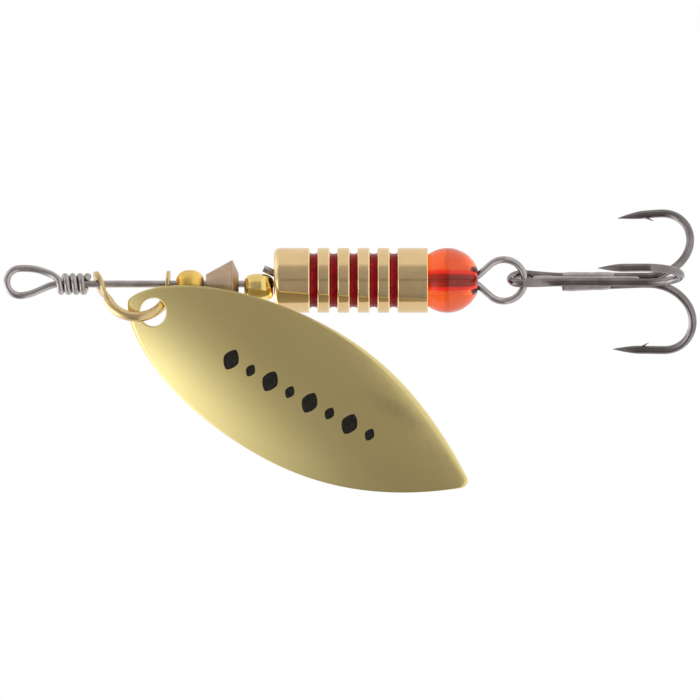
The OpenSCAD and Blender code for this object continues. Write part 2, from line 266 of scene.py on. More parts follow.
def add(tree, kind, sockets=None, **settings):
    """A node with its settings; a socket is given a value or another node's output."""
    node = tree.nodes.new(kind)
    for key, value in settings.items():
        setattr(node, key, value)
    for key, value in (sockets or {}).items():
        if isinstance(value, bpy.types.NodeSocket):
            tree.links.new(value, node.inputs[key])
        else:
            node.inputs[key].default_value = value
    return node


def place(tree, stretch, uv=False):
    """Coordinates in millimetres: the piece's own space, or round and along a wire."""
    if uv:
        source = add(tree, "ShaderNodeUVMap", uv_map="surface").outputs["UV"]
        scale = stretch
    else:
        source = add(tree, "ShaderNodeTexCoord").outputs["Object"]
        scale = tuple(s / MM for s in stretch)
    return add(tree, "ShaderNodeMapping", {"Vector": source, "Scale": scale}).outputs["Vector"]


def noise(tree, vector, scale, detail=3.0, roughness=0.55):
    sockets = {"Vector": vector, "Scale": scale, "Detail": detail, "Roughness": roughness}
    return add(tree, "ShaderNodeTexNoise", sockets).outputs["Fac"]


def remap(tree, value, low, high, to_low=0.0, to_high=1.0):
    sockets = {"Value": value, "From Min": low, "From Max": high,
               "To Min": to_low, "To Max": to_high}
    node = add(tree, "ShaderNodeMapRange", sockets, interpolation_type="SMOOTHSTEP")
    return node.outputs["Result"]


def math_node(tree, operation, *values):
    node = add(tree, "ShaderNodeMath", dict(enumerate(values)), operation=operation)
    return node.outputs[0]


def blend_colours(tree, factor, low, high):
    ramp = add(tree, "ShaderNodeValToRGB", {"Fac": factor})
    ramp.color_ramp.elements[0].color = (*low, 1)
    ramp.color_ramp.elements[1].color = (*high, 1)
    return ramp.outputs["Color"]


def levels(tree, value, stops, low, high):
    """A grey level that runs through the stops; each stop is (value, level)."""
    ramp = add(tree, "ShaderNodeValToRGB", {"Fac": value})
    elements = ramp.color_ramp.elements
    while len(elements) < len(stops):
        elements.new(0.5)
    for element, (at, level) in zip(elements, stops):
        element.position = (at - low) / (high - low)
        element.color = (level, level, level, 1)
    return ramp.outputs["Color"]


def bump(tree, height, depth):
    """depth is the height of the relief in millimetres."""
    sockets = {"Height": height, "Distance": depth * MM, "Strength": 1.0}
    return add(tree, "ShaderNodeBump", sockets).outputs["Normal"]


def material(name, **sockets):
    made = bpy.data.materials.new(name)
    made.use_nodes = True
    shader = made.node_tree.nodes["Principled BSDF"]
    for key, value in sockets.items():
        shader.inputs[key.replace("_", " ")].default_value = value
    return made, made.node_tree, shader


def metal(name, low, high, rough, grain, grain_depth, patches=0.5, uv=False):
    """A metal with drifting colour, roughness in patches and a fine directional grain."""
    made, tree, shader = material(name, Metallic=1.0)
    near = place(tree, (1, 1, 1))
    drift = remap(tree, noise(tree, near, patches, 4.0), 0.35, 0.65)
    tree.links.new(blend_colours(tree, drift, low, high), shader.inputs["Base Color"])
    lines = noise(tree, place(tree, grain, uv), 1.0, 4.0, 0.6)
    smears = noise(tree, near, patches * 2.3, 5.0, 0.65)
    mixed = math_node(tree, "ADD", lines, smears)
    tree.links.new(remap(tree, mixed, 0.7, 1.3, *rough), shader.inputs["Roughness"])
    tree.links.new(bump(tree, lines, grain_depth), shader.inputs["Normal"])
    return made


def enamel_material():
    made, tree, shader = material("red_enamel", Roughness=0.22, Specular_IOR_Level=0.14)
    near = place(tree, (1, 1, 1))
    depth = remap(tree, noise(tree, near, 1.6, 4.0), 0.3, 0.7)
    colour = blend_colours(tree, depth, (0.25, 0.0005, 0.002), (0.42, 0.002, 0.006))
    tree.links.new(colour, shader.inputs["Base Color"])
    tree.links.new(bump(tree, noise(tree, near, 1.2, 2.0), 0.006), shader.inputs["Normal"])
    return made


def bead_material():
    made, tree, shader = material("red_bead", Transmission_Weight=0.96, IOR=1.49)
    near = place(tree, (1, 1, 0.35))
    swirl = remap(tree, noise(tree, near, 0.8, 5.0), 0.3, 0.7)
    colour = blend_colours(tree, swirl, (0.96, 0.10, 0.010), (0.99, 0.14, 0.024))
    tree.links.new(colour, shader.inputs["Base Color"])
    haze = noise(tree, near, 2.5, 4.0)
    tree.links.new(remap(tree, haze, 0.3, 0.7, 0.015, 0.06), shader.inputs["Roughness"])
    tree.links.new(bump(tree, noise(tree, near, 1.3, 2.0), 0.006), shader.inputs["Normal"])
    return made


def ink_material():
    made, tree, shader = material("black_ink", Specular_IOR_Level=0.12)
    near = place(tree, (1, 1, 1))
    wear = remap(tree, noise(tree, near, 6.0, 5.0), 0.35, 0.7)
    colour = blend_colours(tree, wear, (0.012, 0.010, 0.008), (0.03, 0.026, 0.02))
    tree.links.new(colour, shader.inputs["Base Color"])
    tree.links.new(remap(tree, wear, 0, 1, 0.38, 0.6), shader.inputs["Roughness"])
    tree.links.new(bump(tree, noise(tree, near, 14.0, 3.0), 0.004), shader.inputs["Normal"])
    return made


def floor_material():
    made, tree, shader = material("pale_floor")
    drift = remap(tree, noise(tree, place(tree, (1, 1, 1)), 0.02, 3.0), 0.3, 0.7)
    colour = blend_colours(tree, drift, (0.83, 0.83, 0.82), (0.87, 0.87, 0.865))
    tree.links.new(colour, shader.inputs["Base Color"])
    tree.links.new(remap(tree, drift, 0, 1, 0.6, 0.7), shader.inputs["Roughness"])
    return made


# painted shade: the blade's hollow side is darker and browner for the shade on its back
HOLLOW_SHADE_COLOUR, HOLLOW_ROUGHNESS = (0.33, 0.28, 0.17, 1), 0.42


def shade_and_dull_hollow(made):
    """Paints shade on the blade's hollow side as a darker, browner colour, and leaves it
    unpolished.
    """
    tree = made.node_tree
    shader = tree.nodes["Principled BSDF"]
    hollow = add(tree, "ShaderNodeAttribute", attribute_name="hollow").outputs["Fac"]
    polished = {key: shader.inputs[key].links[0].from_socket for key in ("Base Color", "Roughness")}
    colour = add(tree, "ShaderNodeMix", {0: hollow, 6: polished["Base Color"], 7: HOLLOW_SHADE_COLOUR},
                 data_type="RGBA")
    rough = add(tree, "ShaderNodeMix", {0: hollow, 2: polished["Roughness"], 3: HOLLOW_ROUGHNESS})
    tree.links.new(colour.outputs[2], shader.inputs["Base Color"])
    tree.links.new(rough.outputs[0], shader.inputs["Roughness"])


WIRE_GRAIN = (9.0, 0.5, 1.0)     # finer round the wire than along it
TURNED_GRAIN = (0.3, 0.3, 16.0)  # rings round an upright axis

# darker and lighter colour, roughness, grain and its depth in mm, fineness of the patches
steel = metal("drawn_steel", (0.40, 0.355, 0.345), (0.52, 0.465, 0.455), (0.17, 0.27),
              WIRE_GRAIN, 0.001, uv=True)
clevis_brass = metal("clevis_brass", (0.66, 0.465, 0.215), (0.76, 0.55, 0.275), (0.2, 0.28),
                     (2.5, 2.5, 2.5), 0.0008, 0.6)
blade_brass = metal("blade_brass", (0.795, 0.62, 0.262), (0.825, 0.65, 0.285), (0.14, 0.18),
                    (1.2, 9, 9), 0.0004, 0.12)
shade_and_dull_hollow(blade_brass)
gold = metal("gold_bead", (0.93, 0.66, 0.2), (0.97, 0.74, 0.28), (0.1, 0.2),
             TURNED_GRAIN, 0.002, 1.1)
satin_gold = metal("satin_gold_bead", (0.85, 0.53, 0.12), (0.92, 0.6, 0.16), (0.28, 0.4),
                   TURNED_GRAIN, 0.003, 1.1)
cone_satin = metal("cone_satin", (0.47, 0.33, 0.22), (0.56, 0.41, 0.28), (0.34, 0.46),
                   TURNED_GRAIN, 0.004, 0.6)
body_brass = metal("body_brass", (0.89, 0.635, 0.33), (0.94, 0.675, 0.355), (0.1, 0.15),
                   TURNED_GRAIN, 0.001, 0.4)
black_nickel = metal("black_nickel", (0.2, 0.168, 0.164), (0.28, 0.24, 0.235), (0.09, 0.15),
                     WIRE_GRAIN, 0.0008, 0.7, uv=True)
braze_metal = metal("braze", (0.43, 0.378, 0.372), (0.54, 0.478, 0.47), (0.3, 0.4),
                    (2, 2, 2), 0.004, 0.9)
enamel = enamel_material()
red_plastic = bead_material()
ink = ink_material()


# ---------------------------------------------------------------- shaft wire

WIRE_R = 0.28
STRAND_PITCH = 0.58          # between the two strands in the body
BODY_X = STRAND_PITCH / 2
WRAP_R = 0.6
WRAP_PITCH = 0.6
WRAP_TOP = 2.9
WRAP_FROM, WRAP_TO = 55, 1450
LOOP_R, LOOP_Z, LOOP_LEG_ANGLE, LOOP_BEND_R = 1.66, -38.61, 42, 0.6
TAG_BEND_R, TAG_Z, TAG_ANGLE, TAG_LEN = 1.2, -21.08, 25, 1.26
WIRE_STEP = 0.09             # between the points along a wire
WRAP_STEP = 19               # degrees between the points round a wrap
X_AXIS, Z_AXIS = (1, 0, 0), (0, 0, 1)
# the eye: up one side from the wraps, over the bow and down the other side into the shaft
EYE_UP = [(0.64, -0.3, -2.62), (0.88, -0.12, -2.1), (1.12, -0.02, -1.4), (1.23, 0, -0.7)]
EYE_CENTRE, EYE_BOW_R = (0.16, 0, 0.07), 1.09
EYE_DOWN = [(-0.79, 0, -0.7), (-0.48, 0, -1.5), (-0.14, 0, -2.3), (0, 0, -2.95), (0, 0, -3.6)]


def wrap_point(degrees):
    a = math.radians(degrees)
    return (WRAP_R * math.cos(a), -WRAP_R * math.sin(a), -WRAP_TOP - WRAP_PITCH * degrees / 360)


def line_eye_and_wraps():
    """From the wire's cut end, up through the wraps, round the eye and down into the core."""
    wraps = [wrap_point(a) for a in np.arange(WRAP_TO, WRAP_FROM - 1, -WRAP_STEP)]
    return wraps + EYE_UP + arc(EYE_CENTRE, X_AXIS, Z_AXIS, EYE_BOW_R, 0, 180, 15) + EYE_DOWN


def rear_loop():
    """Down the first strand, round the rear loop and up the second strand to the tag end."""
    leg, lean = math.radians(LOOP_LEG_ANGLE), math.radians(TAG_ANGLE)
    reach = BODY_X + LOOP_BEND_R * (1 - math.cos(leg))
    turn_z = LOOP_Z + (LOOP_R - reach * math.cos(leg)) / math.sin(leg)
    turn_z += LOOP_BEND_R * math.sin(leg)

    def bend(x, z, radius, start, end):
        return arc((x, 0, z), X_AXIS, Z_AXIS, radius, start, end)

    first = bend(-LOOP_BEND_R, turn_z, LOOP_BEND_R, 0, -LOOP_LEG_ANGLE)
    loop = bend(BODY_X, LOOP_Z, LOOP_R, 180 - LOOP_LEG_ANGLE, 360 + LOOP_LEG_ANGLE)
    second = bend(STRAND_PITCH + LOOP_BEND_R, turn_z, LOOP_BEND_R, 180 + LOOP_LEG_ANGLE, 180)
    tag = bend(STRAND_PITCH + TAG_BEND_R, TAG_Z, TAG_BEND_R, 180, 180 - TAG_ANGLE)
    tip = tag[-1] + TAG_LEN * np.array([math.sin(lean), 0, math.cos(lean)])
    return first + loop + second + tag + [tip]


def make_shaft():
    front = curve(line_eye_and_wraps(), WIRE_STEP)
    rear = even(np.array([front[-1]] + rear_loop()), WIRE_STEP)
    mesh = tube("shaft_wire_drawn", np.concatenate([front, rear[1:]]), WIRE_R, up=Z_AXIS)
    piece = add_object("shaft_wire_drawn", [mesh], steel)
    finish_piece(piece, "shaft", "shaft_steel", "shaft_wire")


# ---------------------------------------------------------------- clevis

CLEVIS_R = 0.4
CLEVIS_BEND_R, CLEVIS_OUT, CLEVIS_Z = 2.4, 0.8, -9.25
UPPER_EAR, LOWER_EAR = 24, 5
CLEVIS_TURN = 215
EAR_R, EAR_HALF_T, EAR_BORE_R = 1.07, 0.16, 0.4
EAR_SOFT, EAR_BORE_SOFT = 0.09, 0.05   # rounding of the ears' edges
FLATTEN_FROM, FLATTEN_TO = 1.8, 0.75   # where the legs go flat, from the shaft
FLAT_HALF_T, FLAT_HALF_W = EAR_HALF_T - 0.02, 0.62
LEG_STOP = EAR_BORE_R + 0.22           # where the legs end inside the ears, from the shaft
LEG_STEP = 0.08


def ear_mesh(height, slope):
    """A drilled ear with soft edges, sloped down towards +X."""
    profile = rounded([
        (EAR_BORE_R, -EAR_HALF_T, EAR_BORE_SOFT), (EAR_R, -EAR_HALF_T, EAR_SOFT),
        (EAR_R, EAR_HALF_T, EAR_SOFT), (EAR_BORE_R, EAR_HALF_T, EAR_BORE_SOFT),
    ], 4)
    mesh = lathe("ear", profile, 0, 72)
    tilt = Matrix.Rotation(math.radians(slope), 4, "Y")
    mesh.transform(Matrix.Translation((0, 0, height * MM)) @ tilt)
    return mesh


def make_clevis():
    low_angle, high_angle = LOWER_EAR - 90, 90 - UPPER_EAR
    bow = arc((CLEVIS_OUT, 0, CLEVIS_Z), X_AXIS, Z_AXIS, CLEVIS_BEND_R, low_angle, high_angle, 4)
    low_slope, high_slope = math.radians(LOWER_EAR), math.radians(UPPER_EAR)
    low_height = bow[0][2] - bow[0][0] * math.tan(low_slope)
    high_height = bow[-1][2] + bow[-1][0] * math.tan(high_slope)
    low_end = np.array([LEG_STOP, 0, low_height + LEG_STOP * math.tan(low_slope)])
    high_end = np.array([LEG_STOP, 0, high_height - LEG_STOP * math.tan(high_slope)])
    path = even(np.array([low_end] + bow + [high_end]), LEG_STEP)
    flat = np.clip((FLATTEN_FROM - path[:, 0]) / (FLATTEN_FROM - FLATTEN_TO), 0, 1)
    flat = flat * flat * (3 - 2 * flat)
    thick = CLEVIS_R + (FLAT_HALF_T - CLEVIS_R) * flat
    wide = CLEVIS_R + (FLAT_HALF_W - CLEVIS_R) * flat
    leg = tube("leg", path, thick, wide, up=(0, 1, 0), sides=28, bevel=0.03)
    meshes = [leg, ear_mesh(low_height, -LOWER_EAR), ear_mesh(high_height, UPPER_EAR)]
    for mesh in meshes:
        mesh.transform(Matrix.Rotation(math.radians(CLEVIS_TURN), 4, "Z"))
    piece = add_object("clevis_formed", meshes, clevis_brass)
    finish_piece(piece, "clevis", "clevis_brass", "clevis")


# ---------------------------------------------------------------- blade

BLADE_W, BLADE_MIDDLE = 11.78, -0.17
BLADE_WIDEST, BLADE_END, BLADE_TIP = 13.1, 15.38, 16.0
END_FULLNESS, TIP_FULLNESS = 0.65, 2.1
TIP_CUT = 0.65               # where the round tip starts, before the end of the leaf
BLADE_T = 0.38
DOME_LONG_R, DOME_CROSS_R = 70, 15
BLADE_HOLE_R, HOLE_SOFT = 1.12, 0.07
RIM_WIDTH, RIM_DROP = 0.22, 0.03     # the convex face bends down a little along its edge
LIP_SHARE = 0.9              # how far the rounded edge reaches in, in half thicknesses
BLADE_PITCH, BLADE_ROLL = 7, 9
blade_joint = joints["blade_swing"]
BLADE_SKEW = math.degrees(math.atan2(blade_joint["axis"][2], -blade_joint["axis"][0]))
BLADE_AT = np.array(blade_joint["pos_m"]) / MM
BLADE_TURN = (turn("Y", 90 + BLADE_SKEW) @ turn("X", 90)
              @ turn("Y", -BLADE_PITCH) @ turn("X", BLADE_ROLL))


def blade_half(u):
    """Half the blade's width at distance u from its hole towards the tip."""
    d = u - BLADE_WIDEST
    end = np.maximum(0, 1 - (d / BLADE_END) ** 2) ** END_FULLNESS
    tip = 1 - np.abs(d / BLADE_TIP) ** TIP_FULLNESS
    return BLADE_W / 2 * np.where(d < 0, end, tip)


def dome_height(x, y):
    """Height of the sheet's middle surface, level with the hole's centre."""
    crown = DOME_LONG_R - math.sqrt(DOME_LONG_R ** 2 - BLADE_WIDEST ** 2)
    across = DOME_LONG_R - DOME_CROSS_R + np.sqrt(DOME_CROSS_R ** 2 - y ** 2)
    return crown - DOME_LONG_R + np.sqrt(across ** 2 - (x - BLADE_WIDEST) ** 2)


def dome_normal(x, y):
    step = 0.01
    slope_x = (dome_height(x + step, y) - dome_height(x - step, y)) / (2 * step)
    slope_y = (dome_height(x, y + step) - dome_height(x, y - step)) / (2 * step)
    normal = np.stack([-slope_x, -slope_y, np.ones_like(slope_x)], -1)
    return normal / np.linalg.norm(normal, axis=-1, keepdims=True)


def blade_outline(count=360):
    """Evenly spaced points round the leaf, with its tip rounded off."""
    bend = np.radians(np.linspace(-90, 90, 181))
    u = BLADE_WIDEST + np.where(bend < 0, BLADE_END, BLADE_TIP - TIP_CUT) * np.sin(bend)
    half = blade_half(u)
    lean = math.atan2(half[-2] - half[-1], u[-1] - u[-2])
    tip_r = half[-1] / math.cos(lean)
    cap = np.linspace(lean, math.pi / 2, 7)[1:]
    u = np.append(u, u[-1] + tip_r * (np.sin(cap) - math.sin(lean)))
    half = np.append(half, tip_r * np.cos(cap))
    upper = np.stack([u, BLADE_MIDDLE + half, 0 * u], 1)
    lower = np.stack([u, BLADE_MIDDLE - half, 0 * u], 1)[::-1]
    loop = np.concatenate([upper, lower, upper[:1]])
    return even(loop, np.linalg.norm(np.diff(loop, axis=0), axis=1).sum() / count)[:-1, :2]


def on_sheet(x, y, lift):
    """Points that stand above the sheet's middle surface, in the blade's own frame."""
    return np.stack([x, y, dome_height(x, y)], 1) + dome_normal(x, y) * lift


def blade_place(points):
    return points @ BLADE_TURN.T + BLADE_AT


def make_blade():
    """Rings from the hole out over the convex face, round the edge and back underneath."""
    outline = blade_outline()
    away = outline / np.linalg.norm(outline, axis=1, keepdims=True)
    hole = away * BLADE_HOLE_R
    half_t = BLADE_T / 2
    spread = np.concatenate([[0.004, 0.012], np.linspace(0.03, 0.97, 44), [0.985, 0.995]])
    inner, outer = hole + away * HOLE_SOFT, outline - away * half_t * LIP_SHARE
    rows = []

    def row(points, lift):
        rows.append(on_sheet(points[:, 0], points[:, 1], lift))

    for t in spread:
        points = inner + (outer - inner) * t
        left = np.linalg.norm(outer - points, axis=1)
        drop = RIM_DROP * np.clip(1 - left / RIM_WIDTH, 0, 1) ** 2
        row(points, (half_t - drop)[:, None])
    for t in np.radians(np.linspace(90, -90, 13)[1:-1]):
        row(outline + away * half_t * LIP_SHARE * (math.cos(t) - 1), half_t * math.sin(t))
    for t in spread[::-1]:
        row(inner + (outer - inner) * t, -half_t)
    for t in np.radians(np.linspace(-90, 90, 9)[1:-1]):
        lift = (half_t - HOLE_SOFT) * np.sign(math.sin(t)) + HOLE_SOFT * math.sin(t)
        row(hole + away * HOLE_SOFT * (1 - math.cos(t)), lift)
    mesh = grid_mesh("blade_sheet", blade_place(np.array(rows)), loop_rows=True)
    index, half_way = np.arange(len(rows)), len(spread) + 5
    hollow = (index > half_way) & (index < half_way + len(spread) + 6)
    layer = mesh.attributes.new("hollow", "FLOAT", "POINT")
    layer.data.foreach_set("value", np.repeat(hollow.astype(float), len(outline)))
    finish_piece(add_object("blade_sheet", [mesh], blade_brass), "blade", "blade_brass", "blade")


MARK_FROM, MARK_TO, MARK_COUNT = 7.5, 20.1, 8
MARK_LONG, MARK_WIDE, SMALL_MARK = 1.3, 1.75, 0.6
MARK_POINTED = 1.35          # 1 is an ellipse, and 2 a lozenge with straight sides
INK_T, INK_ROOT = 0.012, -0.01
# the rings of a mark: their share of its size, and their height over the sheet
MARK_RINGS = ((0.02, INK_T), (0.5, INK_T), (0.97, INK_T), (1, 0.5 * INK_T),
              (1, INK_ROOT), (0.02, INK_ROOT))


def mark_mesh(u, size):
    """One printed lozenge with bowed sides, lying on the blade's convex face."""
    angles = np.linspace(0, 2 * math.pi, 48, endpoint=False)
    cos, sin = np.cos(angles), np.sin(angles)
    x = size * MARK_LONG / 2 * np.sign(cos) * np.abs(cos) ** MARK_POINTED
    y = size * MARK_WIDE / 2 * np.sign(sin) * np.abs(sin) ** MARK_POINTED
    rows = [on_sheet(u + share * x, BLADE_MIDDLE + share * y, BLADE_T / 2 + lift)
            for share, lift in MARK_RINGS]
    return grid_mesh("mark", blade_place(np.array(rows)))


def make_marks():
    """A plain row of printed lozenges, large and small by turns."""
    meshes = []
    for k in range(MARK_COUNT):
        u = MARK_FROM + (MARK_TO - MARK_FROM) * k / (MARK_COUNT - 1)
        meshes.append(mark_mesh(u, 1.0 if k % 2 == 0 else SMALL_MARK))
    finish_piece(add_object("blade_marks", meshes, ink), "blade", "black_ink")


# ---------------------------------------------------------------- beads and cone

BEAD_LIP = 0.05              # chamfer at the ends of a bead's bore


def bead_profile(radius, bore_r, fullness, middle_z, stretch, steps):
    """A bored bead; fullness 2 is a ball, and more is closer to a barrel."""
    start = math.asin(min(0.999, (bore_r + BEAD_LIP) / radius) ** (fullness / 2))
    angles = np.linspace(start, math.pi - start, steps)
    r = radius * np.abs(np.sin(angles)) ** (2 / fullness)
    cos = np.cos(angles)
    z = stretch * radius * np.sign(cos) * np.abs(cos) ** (2 / fullness)
    bore_z = [z[-1] + BEAD_LIP, 0.33 * z[-1], 0.33 * z[0], z[0] - BEAD_LIP]
    bore = [(bore_r, height) for height in bore_z]
    profile = np.concatenate([np.stack([r, z], 1), np.array(bore)])
    return profile + np.array([0, middle_z])


def make_bead(node, body, slot, surface, bore_r, fullness, stretch=1.0, steps=40):
    middle, size = centre_and_size(node)
    profile = bead_profile(size[0] / 2, bore_r, fullness, middle[2], stretch, steps)
    mesh = lathe(node + "_turned", profile, middle[0])
    finish_piece(add_object(node + "_turned", [mesh], surface), body, slot, node)


CONE_BORE_R, CONE_NOSE_R, CONE_TAIL_R = 0.36, 0.77, 0.86
CONE_WIDEST, CONE_BAND = 2.02, 0.12  # from the nose, and the width of the widest band
CONE_INSET = 0.03            # the rounded band's profile, inside the CAD's edge


def make_cone():
    middle, size = centre_and_size("cone_bearing")
    top, bottom = middle[2] + size[2] / 2, middle[2] - size[2] / 2
    band_r, band_top = size[0] / 2 - CONE_INSET, top - CONE_WIDEST
    profile = rounded([
        (CONE_BORE_R, top, 0.04), (CONE_NOSE_R, top, 0.06),
        (band_r, band_top, 0.06), (band_r, band_top - CONE_BAND, 0.06),
        (CONE_TAIL_R, bottom, 0.05), (CONE_BORE_R, bottom, 0.04),
    ])
    mesh = lathe("cone_turned", profile, middle[0])
    piece = add_object("cone_turned", [mesh], cone_satin)
    finish_piece(piece, "cone_bearing", "cone_brass", "cone_bearing")


# ---------------------------------------------------------------- body and enamel

BODY_BORE_R, MOUTH_R, MOUTH_DEPTH = 0.61, 1.08, 0.9
SHOULDER = 0.5               # rounding of the body's front
RIM_R = 0.14                 # rounding of the grooves' edges
GROOVE_DEPTH = 0.64
CUP_GAP = 0.08
FLOOR_R = 0.03               # rounding of the grooves' corners
ENAMEL_CREEP, ENAMEL_DIP = 0.05, 0.04   # up the groove's walls, and down in the middle
FIT = 0.01                   # between the enamel and its groove
TURNED_SIDES = 192
RINGS = ["enamel_ring_%d" % k for k in range(1, 6)]


def make_body():
    middle, size = centre_and_size("body")
    bead_middle, bead_size = centre_and_size("tail_bead")
    radius, top, bottom = size[0] / 2, middle[2] + size[2] / 2, middle[2] - size[2] / 2
    corners = [(BODY_BORE_R, top - MOUTH_DEPTH, 0.1), (MOUTH_R, top, 0.06),
               (radius, top, SHOULDER)]
    floor = radius - GROOVE_DEPTH
    for ring in RINGS:
        low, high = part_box(ring)
        start, end = high.z / MM + FIT, low.z / MM - FIT
        corners += [(radius, start, RIM_R), (floor, start, FLOOR_R),
                    (floor, end, FLOOR_R), (radius, end, RIM_R)]
    cup_r = bead_size[0] / 2 + CUP_GAP
    ball_z = bead_middle[2]
    lip = math.acos((bottom - ball_z) / cup_r)
    corners += [(radius, bottom, 0.09), (cup_r * math.sin(lip), bottom, 0.04)]
    deep = math.asin(BODY_BORE_R / cup_r)
    for a in np.linspace(lip, deep, 9)[1:]:
        corners.append((cup_r * math.sin(a), ball_z + cup_r * math.cos(a), 0))
    mesh = lathe("body_turned", rounded(corners), middle[0], TURNED_SIDES)
    finish_piece(add_object("body_turned", [mesh], body_brass), "body", "body_brass", "body")


def make_enamel(ring):
    """Enamel that has run into a groove: it stands a little higher against the walls."""
    middle, size = centre_and_size(ring)
    floor, half = centre_and_size("body")[1][0] / 2 - GROOVE_DEPTH + FIT, size[2] / 2
    across = np.linspace(1, -1, 11)
    skin_r = size[0] / 2 - ENAMEL_DIP + (ENAMEL_CREEP + ENAMEL_DIP) * np.abs(across) ** 3
    skin = np.stack([skin_r, middle[2] + half * across], 1)
    profile = np.concatenate([skin, [(floor, middle[2] - half), (floor, middle[2] + half)]])
    mesh = lathe(ring + "_run", profile, middle[0], TURNED_SIDES)
    finish_piece(add_object(ring + "_run", [mesh], enamel), "body", "red_enamel", ring)


# ---------------------------------------------------------------- treble hook

HINGE = np.array(joints["treble_swing"]["pos_m"]) / MM
HOOK_R = 0.325
HOOK_YAW = 9
TREBLE_TURN = turn("X", -HOOK_YAW)
# the eye: its radius, the height of its centre, the way it opens, and its thicker wire
HOOK_EYE_R, HOOK_EYE_Z = 0.88, 0.22
HOOK_EYE_SIDE = unit(np.array([0.41, 0.912, 0]))
HOOK_EYE_SWELL, SWELL_FROM, SWELL_OVER = 0.015, -2.2, 1.6
# where the eye's wire comes in to the shanks: this share of the eye's radius from these points
NECK_A, NECK_B = np.array([0.03, 0.02, -1.1]), np.array([-0.13, 0, -1.1])
NECK_SHARE = 0.62
SHANK_LEVELS = (-2.7, -3.6, -5.5, -7.5, -9.4)
HEEL = (3.23, 3.36)          # outward and along the shank
TOE = (2.72, 2.4)
POINT_LEN, POINT_TIP_R = 2.0, 0.02
SPEAR_POINTS = 7
BARB_AT, BARB_LEN, BARB_OUT = 2.0, 0.95, 0.62
BARB_SUNK, BARB_STEP = 0.08, 0.05   # the root's depth in the spear; between its points
# each hook: its shank at the top and at the heel, its bearing, depth, spear length and lean
HOOK_A = {"top": (0.154, 0.24), "low": (0.154, 0.24), "bearing": 31.4,
          "depth": 13.1, "spear": 3.6, "lean": 0.46}
HOOK_B = {"top": (-0.302, -0.24), "low": (-0.302, -0.24), "bearing": -78.9,
          "depth": 13.05, "spear": 3.9, "lean": 0.2}
HOOK_C = {"top": (-0.662, 0.42), "low": (-0.422, 0.56), "bearing": -207.3,
          "depth": 13.28, "spear": 4.2, "lean": 0.08}
SINGLE_TOP, SINGLE_LOW = -3.04, -9.3
BRAZE_SKIN = 0.04            # what the braze adds over a wetted shank
BRAZE_CORE_AT, BRAZE_CORE_R = (-0.15, 0.16), 0.44
BRAZE_TOP, BRAZE_LOW = -0.75, -9.2  # the core's ends
BRAZE_A_TOP, BRAZE_A_LOW, BRAZE_C_LOW = -2.9, -7.3, -6.9


def outward(hook):
    bearing = math.radians(hook["bearing"])
    return np.array([math.cos(bearing), math.sin(bearing), 0])


def hook_path(hook):
    """From the heel's start down round the bend and up to the point, in the treble's frame."""
    out = outward(hook)
    foot = np.array([*hook["low"], 0])
    heel_z = -hook["depth"] + HEEL[1]
    toe_z = -hook["depth"] + TOE[1]
    reach = HEEL[0] + TOE[0]
    points = []

    def point(away, z):
        points.append(foot + away + np.array([0, 0, z]))

    for a in np.radians(np.arange(0, 90, 6)):
        point(out * HEEL[0] * (1 - math.cos(a)), heel_z - HEEL[1] * math.sin(a))
    for a in np.radians(np.arange(0, 91, 6)):
        point(out * (HEEL[0] + TOE[0] * math.sin(a)), toe_z - TOE[1] * math.cos(a))
    for t in np.linspace(0, 1, SPEAR_POINTS + 1)[1:]:
        point(out * (reach - hook["lean"] * t ** 1.6), toe_z + hook["spear"] * t)
    return points


def point_radii(path, at_start, at_end):
    """The wire's half thickness along path, sharpened at one or both ends."""
    length = np.concatenate([[0], np.cumsum(np.linalg.norm(np.diff(path, axis=0), axis=1))])
    radii = np.full(len(path), HOOK_R)
    for wanted, distance in ((at_start, length), (at_end, length[-1] - length)):
        if wanted:
            share = 1 - (1 - np.clip(distance / POINT_LEN, 0, 1)) ** 1.5
            radii = np.minimum(radii, POINT_TIP_R + (HOOK_R - POINT_TIP_R) * share)
    return radii


def barb(hook):
    """The sliver raised from the inner side of a spear, pointing back to the bend."""
    out = outward(hook)
    spear = hook_path(hook)[-SPEAR_POINTS - 1:]
    back = unit(spear[0] - spear[-1])
    root = spear[-1] + back * BARB_AT - out * BARB_SUNK
    path = curve([
        root - back * 0.25 + out * BARB_SUNK, root,
        root + back * 0.45 * BARB_LEN - out * 0.38 * BARB_OUT,
        root + back * BARB_LEN - out * 0.92 * BARB_OUT,
    ], BARB_STEP)
    share = np.linspace(0, 1, len(path))
    return tube("barb", path, 0.17 * (1 - share) ** 0.7 + 0.012, 0.13 * (1 - share) ** 0.8 + 0.008,
                up=out, sides=16, bevel=0.005)


def in_treble(mesh):
    """Moves a mesh from the treble's frame, whose origin is the hinge, to the lure's."""
    move = Matrix.Translation(Vector(HINGE * MM)) @ Matrix(TREBLE_TURN.tolist()).to_4x4()
    mesh.transform(move)
    return mesh


